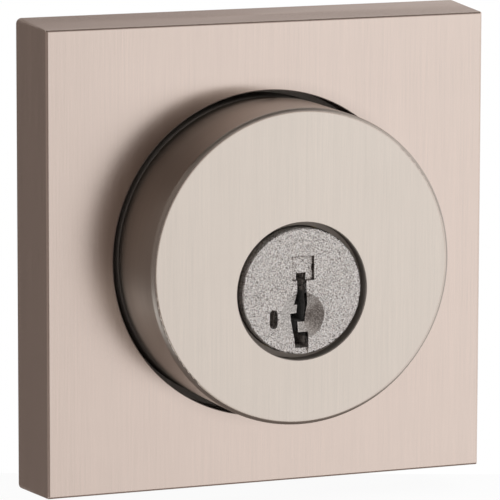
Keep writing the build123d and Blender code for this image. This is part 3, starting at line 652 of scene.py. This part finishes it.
deep = math_node(bores, "GREATER_THAN", split_axes(bores, bore_place)["Y"], bore_takes["Depth"])
dark = math_node(bores, "MAXIMUM", inside, deep)
# Painted shade: the colour is darkened inside the mask.
bore_loss = math_node(bores, "SUBTRACT", 1.0, bore_takes["Kept"])
bore_loss = math_node(bores, "MULTIPLY", dark, bore_loss)
bore_kept = math_node(bores, "SUBTRACT", 1.0, bore_loss)
feed(bores, tinted(bores, bore_takes["Colour"], bore_kept), bore_gives["Colour"])
rougher = math_node(bores, "MULTIPLY", dark, bore_takes["Added Roughness"])
feed(bores, math_node(bores, "ADD", bore_takes["Roughness"], rougher), bore_gives["Roughness"])
dusty = math_node(bores, "MULTIPLY", dark, bore_takes["Dust"])
feed(bores, math_node(bores, "SUBTRACT", 1.0, dusty), bore_gives["Metallic"])
print("group", bores.name, "with", len(bores.nodes), "nodes")

# %% [markdown]
# Each finish is one metal shader with groups in front of it. What is the same all over, such as
# the stretch of the reflections, is set on the shader's own sockets. What changes over the
# surface comes out of the groups: colour, roughness and the height of the scratches. Metallic
# comes from a group only where a bore holds dust.

# %% A metal finish
SCRATCH_DEPTH = 0.000004


def placed(tree, group, values):
    """A group in a material, with links and plain values for its sockets."""
    node = tree.nodes.new("ShaderNodeGroup")
    node.node_tree = group
    for socket, value in values.items():
        feed(tree, value, node.inputs[socket])
    return node


def metal_finish(name, group, values, bore=None, stretch=0.0, relief=SCRATCH_DEPTH,
                 reach=CORNER_REACH, depth=CORNER_DEPTH):
    """A metal material that takes colour, roughness and scratches from a shared group."""
    material = bpy.data.materials.new(name)
    material.use_nodes = True
    tree = material.node_tree
    shader = tree.nodes["Principled BSDF"]
    shader.inputs["Metallic"].default_value = 1.0
    shader.inputs["Anisotropic"].default_value = stretch
    effect = placed(tree, group, values)
    effect.name = "effect"
    colour = effect.outputs["Colour"]
    roughness = effect.outputs["Roughness"]
    if bore:
        dim = placed(tree, bores, {**bore, "Colour": colour, "Roughness": roughness})
        colour = dim.outputs["Colour"]
        roughness = dim.outputs["Roughness"]
        if bore["Dust"] > 0:
            feed(tree, dim.outputs["Metallic"], shader.inputs["Metallic"])
    # Painted shade: the corner group darkens the base colour in corners and gaps.
    shaded = placed(tree, corners, {"Colour": colour, "Reach": reach, "Depth": depth})
    feed(tree, shaded.outputs["Colour"], shader.inputs["Base Color"])
    feed(tree, roughness, shader.inputs["Roughness"])
    bump = tree.nodes.new("ShaderNodeBump")
    bump.name = "bump"
    bump.inputs["Distance"].default_value = relief
    bump.inputs["Strength"].default_value = 1.0
    feed(tree, effect.outputs["Height"], bump.inputs["Height"])
    feed(tree, bump.outputs[0], shader.inputs["Normal"])
    return material


print("a scratch is", SCRATCH_DEPTH, "m deep")

# %% [markdown]
# The trim is satin nickel, a warm grey, brushed upright on its faces. Such brushing smears each
# reflection sideways into a soft band. Real scratches are too fine for a texture to do that, so the
# shader's own Anisotropic value stretches the reflections. The outer rose is the most stretched: its
# face shows a wide, soft reflection of the drum. The wall of its hole is darkened with painted shade.

# %% Satin nickel of the outer rose
UPRIGHT = (4200.0, 4200.0, 90.0)
ROUND_EDGES = (70.0, 4200.0, 70.0)
SATIN_LINES = {"Face Lines": UPRIGHT, "Side Lines": ROUND_EDGES}
ROSE_COLOUR = (0.795, 0.674, 0.608, 1.0)
ROSE_HOLE_R = 0.0236

# Painted shade on the wall of the rose's hole, with no dust.
rose_hole_shade = {
    "Centre": (0.0, 0.0, trim_lift),
    "Radius": ROSE_HOLE_R,
    "Depth": 1.0,
    "Kept": 0.55,
    "Dust": 0.0,
}
rose_nickel = metal_finish(
    "rose_nickel",
    brushed,
    {**SATIN_LINES, "Colour": ROSE_COLOUR, "Contrast": 0.3, "Roughness": 0.2, "Side Roughness": 0.2},
    bore=rose_hole_shade,
    stretch=0.88,
)
print("finish", rose_nickel.name)

# %% [markdown]
# The drum is the same nickel, a little greyer. Its side is turned and not brushed, so it is rougher
# than its face, and painted shade makes it darker. Round the key plug, and behind the rose's face,
# where only a narrow gap shows it, it gets painted shade and a little dust.

# %% Satin nickel of the drum
DRUM_COLOUR = (0.738, 0.664, 0.598, 1.0)
KEY_RING_R = 0.00985
PAST_ROSE_FACE = 0.0004

# Painted shade and a little dust round the key plug and behind the rose's face.
drum_shade_and_dust = {
    "Centre": (0.0, 0.0, 0.0),
    "Radius": KEY_RING_R,
    "Depth": rose_low.y + PAST_ROSE_FACE,
    "Kept": 0.9,
    "Dust": 0.3,
}
drum_face = {"Colour": DRUM_COLOUR, "Contrast": 0.27, "Roughness": 0.2}
# Painted shade makes the drum's side darker than its face.
drum_side = {"Side Roughness": 0.38, "Painted Side Shade": 0.31}
guard_nickel = metal_finish(
    "guard_nickel",
    brushed,
    {**SATIN_LINES, **drum_face, **drum_side},
    bore=drum_shade_and_dust,
    stretch=0.7,
)
print("finish", guard_nickel.name)

# %% [markdown]
# The inner rose, the thumbturn and the faceplate have the same nickel too. They have no bores to
# darken, and no drum stands before them, so a smaller stretch is enough.

# %% Satin nickel of the inside trim
TRIM_COLOUR = (0.715, 0.608, 0.543, 1.0)

trim_nickel = metal_finish(
    "trim_nickel",
    brushed,
    {**SATIN_LINES, "Colour": TRIM_COLOUR, "Contrast": 0.3, "Roughness": 0.22, "Side Roughness": 0.22},
    stretch=0.7,
)
print("finish", trim_nickel.name)

# %% [markdown]
# The key plug is cast and then plated, so it sparkles in grains instead of lines. Its edges are tiny,
# and a bump over smoothed normals would smear light across them. So the bump starts from the true
# normal of each facet. From a little way inside, the keyway is darkened with painted shade and a
# little dust.

# %% Cast plug
PLUG_GRAINS_PER_METRE = 9500.0
GRAIN_DEPTH = 0.000005
# Painted shade in the plug's corners: a shorter reach and a deeper shade.
PLUG_CORNER_REACH = 0.0007
PLUG_CORNER_DEPTH = 0.7
PAST_PLUG_FACE = 0.0012

plug_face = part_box("plug")[0].y
# Painted shade and dust deep in the keyway.
keyway_shade_and_dust = {
    "Centre": (0.0, 0.0, 0.0),
    "Radius": 0.0,
    "Depth": plug_face + PAST_PLUG_FACE,
    "Kept": 0.5,
    "Dust": 0.5,
}
plug_cast = metal_finish(
    "plug_cast",
    grain,
    {"Grains per Metre": PLUG_GRAINS_PER_METRE},
    bore=keyway_shade_and_dust,
    relief=GRAIN_DEPTH,
    reach=PLUG_CORNER_REACH,
    depth=PLUG_CORNER_DEPTH,
)
plug_tree = plug_cast.node_tree
plug_effect = plug_tree.nodes["effect"]
plug_bump = plug_tree.nodes["bump"]
plug_facets = plug_tree.nodes.new("ShaderNodeNewGeometry")
feed(plug_tree, plug_facets.outputs["True Normal"], plug_bump.inputs["Normal"])
print("plug's face at", round(plug_face, 4))

# %% [markdown]
# A shallow cone leads the tip of the key into the keyway. It is cut after the casting, so it is
# smoother, greyer and less grainy than the face round it. It could be a piece of its own with a
# second material, but the plug is one solid, so a round mask tells the two surfaces apart.

# %% Key lead-in
LEAD_IN_CENTRE = (0.0001, 0.0, -0.0035)
LEAD_IN_R = 0.00328
LEAD_IN_CONTRAST = 1.3
CAST_CONTRAST = 4.3
LEAD_IN_ROUGHNESS = 0.15
CAST_ROUGHNESS = 0.23
LEAD_IN_COLOUR = (0.49, 0.475, 0.46, 1.0)
PLUG_COLOUR = (0.77, 0.695, 0.655, 1.0)

plug_place = object_place(plug_tree)
plug_flat = vector_node(plug_tree, "MULTIPLY", plug_place, ACROSS_Y)
from_lead_in = vector_node(plug_tree, "DISTANCE", plug_flat, LEAD_IN_CENTRE)
outside = math_node(plug_tree, "GREATER_THAN", from_lead_in, LEAD_IN_R)
plug_contrast = chosen(plug_tree, "FLOAT", outside, LEAD_IN_CONTRAST, CAST_CONTRAST)
plug_rough = chosen(plug_tree, "FLOAT", outside, LEAD_IN_ROUGHNESS, CAST_ROUGHNESS)
plug_colour = chosen(plug_tree, "RGBA", outside, LEAD_IN_COLOUR, PLUG_COLOUR)
plug_height = math_node(plug_tree, "MULTIPLY", plug_effect.outputs["Height"], outside)
feed(plug_tree, plug_contrast, plug_effect.inputs["Contrast"])
feed(plug_tree, plug_rough, plug_effect.inputs["Roughness"])
feed(plug_tree, plug_height, plug_bump.inputs["Height"])
print("lead-in", round(2000 * LEAD_IN_R, 2), "mm wide")

# %% [markdown]
# Above the keyway is a small square recess, and a thin line of painted shade marks its rim. At this
# size the shading of corners can't draw such a line, so a mask does: it is on where a point lies
# almost exactly on the outline of the square.

# %% Rim of the recess
RECESS_CENTRE = (0.0002, 0.0, 0.00325)
RECESS_HALF_WIDTH = 0.0016
RECESS_HALF_HEIGHT = 0.0017
RECESS_LINE_HALF = 0.00006
RECESS_SHADE_DEPTH = 0.7

from_recess = split_axes(plug_tree, vector_node(plug_tree, "SUBTRACT", plug_place, RECESS_CENTRE))
past_side = math_node(plug_tree, "ABSOLUTE", from_recess["X"])
past_side = math_node(plug_tree, "SUBTRACT", past_side, RECESS_HALF_WIDTH)
past_end = math_node(plug_tree, "ABSOLUTE", from_recess["Z"])
past_end = math_node(plug_tree, "SUBTRACT", past_end, RECESS_HALF_HEIGHT)
past_rim = math_node(plug_tree, "MAXIMUM", past_side, past_end)
past_rim = math_node(plug_tree, "ABSOLUTE", past_rim)
on_shaded_rim = math_node(plug_tree, "LESS_THAN", past_rim, RECESS_LINE_HALF)
# Painted shade along the rim of the recess.
rim_shade_loss = math_node(plug_tree, "MULTIPLY", on_shaded_rim, RECESS_SHADE_DEPTH)
rim_shade_kept = math_node(plug_tree, "SUBTRACT", 1.0, rim_shade_loss)
feed(plug_tree, tinted(plug_tree, plug_colour, rim_shade_kept), plug_effect.inputs["Colour"])
print("plug's material with", len(plug_tree.nodes), "nodes")

# %% [markdown]
# The bolt is ground along its length. The blade, the clips and the springs are plain steel, and
# the cylinder's inner pieces are turned brass. Each has lines that run one way all over, so the
# same group serves, with the same lines and roughness on faces and sides.

# %% Steel and brass
ALONG_BOLT = (50.0, 3800.0, 3800.0)
ALONG_AXIS = (3800.0, 60.0, 3800.0)
BOLT_COLOUR = (0.62, 0.61, 0.60, 1.0)
BLADE_COLOUR = (0.52, 0.52, 0.52, 1.0)
BRASS_COLOUR = (0.70, 0.52, 0.26, 1.0)


def one_way_metal(name, colour, lines, contrast, roughness):
    """A metal that is ground or turned one way all over."""
    values = {"Colour": colour, "Face Lines": lines, "Side Lines": lines, "Contrast": contrast}
    return metal_finish(name, brushed, {**values, "Roughness": roughness, "Side Roughness": roughness})


ground_steel = one_way_metal("ground_steel", BOLT_COLOUR, ALONG_BOLT, contrast=0.2, roughness=0.25)
blade_steel = one_way_metal("blade_steel", BLADE_COLOUR, ALONG_AXIS, contrast=0.25, roughness=0.3)
turned_brass = one_way_metal("turned_brass", BRASS_COLOUR, ALONG_AXIS, contrast=0.16, roughness=0.28)
print("finishes", ground_steel.name, blade_steel.name, turned_brass.name)

# %% [markdown]
# The pressed plates, the posts and the screws are plated with bright zinc, which has a fine, cool
# grain. The inner rose's set screw is black oxide. Neither has a direction, so they use the cast
# grain, with larger grains and little contrast.

# %% Zinc plate and black oxide
ZINC_COLOUR = (0.56, 0.57, 0.59, 1.0)
OXIDE_COLOUR = (0.045, 0.045, 0.05, 1.0)


def grainy_metal(name, colour, grains_per_metre, contrast, roughness):
    """A metal with an even grain all over."""
    values = {"Colour": colour, "Grains per Metre": grains_per_metre}
    return metal_finish(name, grain, {**values, "Contrast": contrast, "Roughness": roughness})


zinc_plate = grainy_metal("zinc_plate", ZINC_COLOUR, 2600.0, contrast=0.22, roughness=0.36)
black_oxide = grainy_metal("black_oxide", OXIDE_COLOUR, 4000.0, contrast=0.4, roughness=0.45)
print("finishes", zinc_plate.name, black_oxide.name)

# %% [markdown]
# Every piece of the lock gets its finish by name. The trim is satin nickel, the plug is cast, the
# bolt is ground steel and the cylinder's inner pieces are brass. Whatever isn't in the table is a
# pressed or plain piece, and gets zinc plate.

# %% Finish of each node
TUMBLER_COUNT = 5

finish_of = {
    "exterior_rose": rose_nickel,
    "interior_rose": trim_nickel,
    "cylinder_guard": guard_nickel,
    "thumbturn": trim_nickel,
    "faceplate": trim_nickel,
    "plug": plug_cast,
    "bolt": ground_steel,
    "saw_guard_pin": ground_steel,
    "tail_rivets": blade_steel,
    "torque_blade": blade_steel,
    "cam_pin": blade_steel,
    "drill_shield": blade_steel,
    "plug_clip": blade_steel,
    "spindle_clip": blade_steel,
    "wave_washer": blade_steel,
    "cylinder_shell": turned_brass,
    "sidebar": turned_brass,
    "spring_cover": turned_brass,
    "cover_set_screw": black_oxide,
}
for number in range(1, TUMBLER_COUNT + 1):
    finish_of[f"key_pin_{number}"] = turned_brass
    finish_of[f"tumbler_rack_{number}"] = turned_brass
for name, node in nodes.items():
    node.data.materials.clear()
    node.data.materials.append(finish_of.get(name, zinc_plate))
print(len(nodes), "nodes finished")

# %% [markdown]
# A coil spring is a wire wound round a straight line. A curve with a bevel could make it, but a
# formula puts the exact number of coils between the exact ends: a ring of points goes round the
# wire's middle line, and each ring is a step further round and along than the last.

# %% Wire of a spring
COILS = 4
COIL_STEPS = 18
WIRE_SIDES = 6


def around(direction, angle):
    """A unit vector square to a direction, turned round it by an angle."""
    side = direction.orthogonal().normalized()
    return side * math.cos(angle) + direction.cross(side) * math.sin(angle)


def coil(foot, top, outer_r, wire_r):
    """Points and faces of a wire wound from foot to top."""
    direction = (top - foot).normalized()
    rise = (top - foot).length - 2 * wire_r
    points = []
    faces = []
    last = COILS * COIL_STEPS
    for step in range(last + 1):
        radial = around(direction, math.tau * step / COIL_STEPS)
        middle = foot + direction * (wire_r + rise * step / last) + radial * (outer_r - wire_r)
        for side in range(WIRE_SIDES):
            turn = math.tau * side / WIRE_SIDES
            points.append(middle + (radial * math.cos(turn) + direction * math.sin(turn)) * wire_r)
    for step in range(last):
        here = step * WIRE_SIDES
        there = here + WIRE_SIDES
        for side in range(WIRE_SIDES):
            after = (side + 1) % WIRE_SIDES
            faces.append((here + side, there + side, there + after, here + after))
    faces.append(tuple(range(WIRE_SIDES)))
    faces.append(tuple(reversed(range(last * WIRE_SIDES, (last + 1) * WIRE_SIDES))))
    return points, faces


print("springs of", COILS, "coils")

# %% [markdown]
# Springs and screws are lists of points and faces, and a mesh is made from those directly. It is
# shaded smooth, which suits a round wire, and edges that turn sharply are kept as edges. Without
# that, the rim of a screw's head would look melted.

# %% One piece from several shapes
SHARP_EDGE = math.radians(40.0)


def made_piece(name, shapes, material):
    """One object from several lists of points and faces, smooth except at its sharp edges."""
    points = []
    faces = []
    for shape_points, shape_faces in shapes:
        offset = len(points)
        points.extend(shape_points)
        faces.extend(tuple(corner + offset for corner in face) for face in shape_faces)
    mesh = bpy.data.meshes.new(name)
    mesh.from_pydata(points, [], faces)
    mesh.materials.append(material)
    mesh.shade_smooth()
    mesh.set_sharp_from_angle(angle=SHARP_EDGE)
    piece = bpy.data.objects.new(name, mesh)
    bpy.context.scene.collection.objects.link(piece)
    return piece


print("edges over", round(math.degrees(SHARP_EDGE)), "degrees stay sharp")

# %% [markdown]
# Each tumbler is pushed down by a small coil spring under the cover strip, and two more push the
# sidebar out. They are plain sleeves in the solids, where only their room counts, and the coils
# replace them at the same size. A tumbler's spring sits in the plug, and on the real lock it gets
# shorter as its pin rises.

# %% Coil springs
TUMBLER_WIRE_R = 0.00014
SIDEBAR_WIRE_R = 0.0001

for number in range(1, TUMBLER_COUNT + 1):
    sleeve = f"tumbler_spring_{number}"
    low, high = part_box(sleeve)
    middle = (low + high) / 2
    foot = Vector((middle.x, middle.y, low.z))
    top = Vector((middle.x, middle.y, high.z))
    shape = coil(foot, top, (high.x - low.x) / 2, TUMBLER_WIRE_R)
    spring = made_piece(f"tumbler_coil_{number}", [shape], blade_steel)
    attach(spring, "key_plug")
    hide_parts(sleeve)
    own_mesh(spring)
low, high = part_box("sidebar_springs")
sidebar_spring_r = (high.z - low.z) / 2
sidebar_shapes = []
for spot in (low.y + sidebar_spring_r, high.y - sidebar_spring_r):
    foot = Vector((high.x, spot, 0.0))
    top = Vector((low.x, spot, 0.0))
    sidebar_shapes.append(coil(foot, top, sidebar_spring_r, SIDEBAR_WIRE_R))
sidebar_coils = made_piece("sidebar_coils", sidebar_shapes, blade_steel)
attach(sidebar_coils, "key_plug")
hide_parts("sidebar_springs")
print(TUMBLER_COUNT + len(sidebar_shapes), "coil springs of", COILS, "coils")

# %% [markdown]
# Two machine screws run from the inside plate through the door and into the posts, and they show
# between the roses. They are plain rods in the solids. A thread is one ridge that winds along a
# rod, so two helices make it, half a pitch apart: one for the crest and one for the root, with
# faces between them. A bump in the material would be less work, but a real ridge keeps its shape
# in any light and in the mesh.

# %% Thread of a screw
THREAD_PITCH = 0.001
THREAD_STEPS = 18
CREST_SHIFT = 0.5
CREST_R = 0.00198
ROOT_R = 0.00155


def threaded_rod(foot, top):
    """Points and faces of a closed rod with one thread, from foot to top."""
    direction = (top - foot).normalized()
    last = int((top - foot).length / THREAD_PITCH - 1) * THREAD_STEPS
    points = []
    for step in range(last + THREAD_STEPS + 1):
        along = direction * (THREAD_PITCH * step / THREAD_STEPS)
        points.append(foot + along + around(direction, math.tau * step / THREAD_STEPS) * ROOT_R)
    crest = len(points)
    for step in range(last + 1):
        along = direction * (THREAD_PITCH * (step / THREAD_STEPS + CREST_SHIFT))
        points.append(foot + along + around(direction, math.tau * step / THREAD_STEPS) * CREST_R)
    faces = []
    for step in range(last):
        above = step + THREAD_STEPS
        faces.append((step, step + 1, crest + step + 1, crest + step))
        faces.append((crest + step, crest + step + 1, above + 1, above))
    low_middle = len(points)
    high_middle = low_middle + 1
    points.append(foot)
    points.append(foot + direction * (THREAD_PITCH * (last / THREAD_STEPS + 1)))
    for step in range(THREAD_STEPS):
        faces.append((low_middle, step + 1, step))
        faces.append((high_middle, last + step, last + step + 1))
    end = last + THREAD_STEPS
    faces.append((low_middle, 0, THREAD_STEPS))
    faces.append((0, crest, THREAD_STEPS))
    faces.append((high_middle, end, last))
    faces.append((last, end, crest + last))
    return points, faces


print("thread of", round(1000 * THREAD_PITCH, 2), "mm pitch")

# %% [markdown]
# The screws' heads are good as they are in the solid. So a copy of that mesh is cut across, just
# past the heads, and its holes are closed. A short neck stays on each head, and the threaded rod
# will end inside it, so that no gap can show.

# %% Heads of the screws
SCREW_HEAD = 0.0024
SCREW_NECK = 0.0014
WELD_DISTANCE = 0.000001

screw_low, screw_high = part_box("through_screws")
neck_y = screw_high.y - SCREW_HEAD - SCREW_NECK
heads = bmesh.new()
heads.from_mesh(nodes["through_screws"].data)
heads.transform(nodes["through_screws"].matrix_world)
bmesh.ops.remove_doubles(heads, verts=heads.verts, dist=WELD_DISTANCE)
everything = heads.verts[:] + heads.edges[:] + heads.faces[:]
cut = bmesh.ops.bisect_plane(
    heads, geom=everything, plane_co=(0, neck_y, 0), plane_no=(0, 1, 0), clear_inner=True
)
rims = [edge for edge in cut["geom_cut"] if isinstance(edge, bmesh.types.BMEdge)]
bmesh.ops.holes_fill(heads, edges=rims)
heads.verts.index_update()
head_points = [vertex.co.copy() for vertex in heads.verts]
head_faces = [tuple(vertex.index for vertex in face.verts) for face in heads.faces]
open_edges = sum(1 for edge in heads.edges if not edge.is_manifold)
heads.free()
print("heads with", len(head_faces), "faces and", open_edges, "open edges")

# %% [markdown]
# The heads and the two threaded rods make one piece, which replaces the plain screws. A screw's
# head reaches as far to the side as up, so its radius gives the height of its middle.

# %% Threaded through screws
head_r = screw_high.x
screw_z = screw_high.z - head_r
screw_shapes = [(head_points, head_faces)]
for spot in (screw_z, -screw_z):
    foot = Vector((0.0, screw_low.y, spot))
    top = Vector((0.0, neck_y + THREAD_PITCH, spot))
    screw_shapes.append(threaded_rod(foot, top))
threaded_screws = made_piece("threaded_screws", screw_shapes, zinc_plate)
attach(threaded_screws, "fixed_trim")
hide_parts("through_screws")
print("screws with", len(threaded_screws.data.polygons), "faces")
